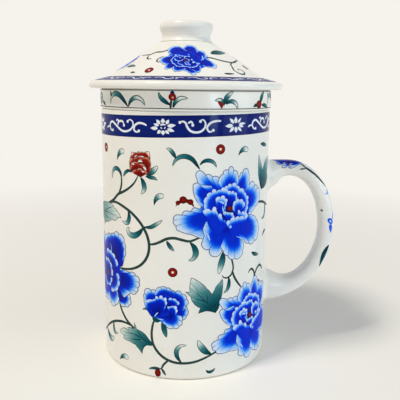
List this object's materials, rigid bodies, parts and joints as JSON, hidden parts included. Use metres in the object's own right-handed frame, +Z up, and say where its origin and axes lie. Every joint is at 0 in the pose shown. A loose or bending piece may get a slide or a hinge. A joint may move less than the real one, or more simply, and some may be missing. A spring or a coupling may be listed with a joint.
{
  "type": "lidded tea mug with infuser",
  "caption": "Straight-sided porcelain tea mug with an ear handle, a perforated infuser basket hung from a collar on the rim, and a lift-off conical lid with a round knob.",
  "frame": {"origin": "centre of the foot ring, on the surface the mug stands on", "axes": "+Z up along the mug's axis; the handle points towards +X; the front that the picture shows faces -Y"},
  "size_m": [0.1195, 0.091, 0.1595],
  "materials": {
    "porcelain_mug": "clear glaze over ivory-white porcelain, bare on the foot ring",
    "porcelain_infuser": "clear glaze over ivory-white porcelain",
    "porcelain_lid": "clear glaze over ivory-white porcelain",
    "cobalt_enamel": "cobalt-blue ornament, shading to pale blue at the petal edges",
    "leaf_enamel": "teal-green stems and leaves",
    "iron_red_enamel": "iron-red buds and berries"
  },
  "bodies": {
    "mug": {"mug_body": "porcelain_mug", "mug_handle": "porcelain_mug"},
    "infuser": {"infuser_basket": "porcelain_infuser"},
    "lid": {"lid_shell": "porcelain_lid", "lid_knob": "porcelain_lid"}
  },
  "joints": [
    {"name": "infuser_lift", "type": "slide", "parent": "mug", "child": "infuser", "axis": [0, 0, 1], "range_m": [0, 0.11]},
    {"name": "lid_lift", "type": "slide", "parent": "infuser", "child": "lid", "axis": [0, 0, 1], "range_m": [0, 0.06]}
  ]
}
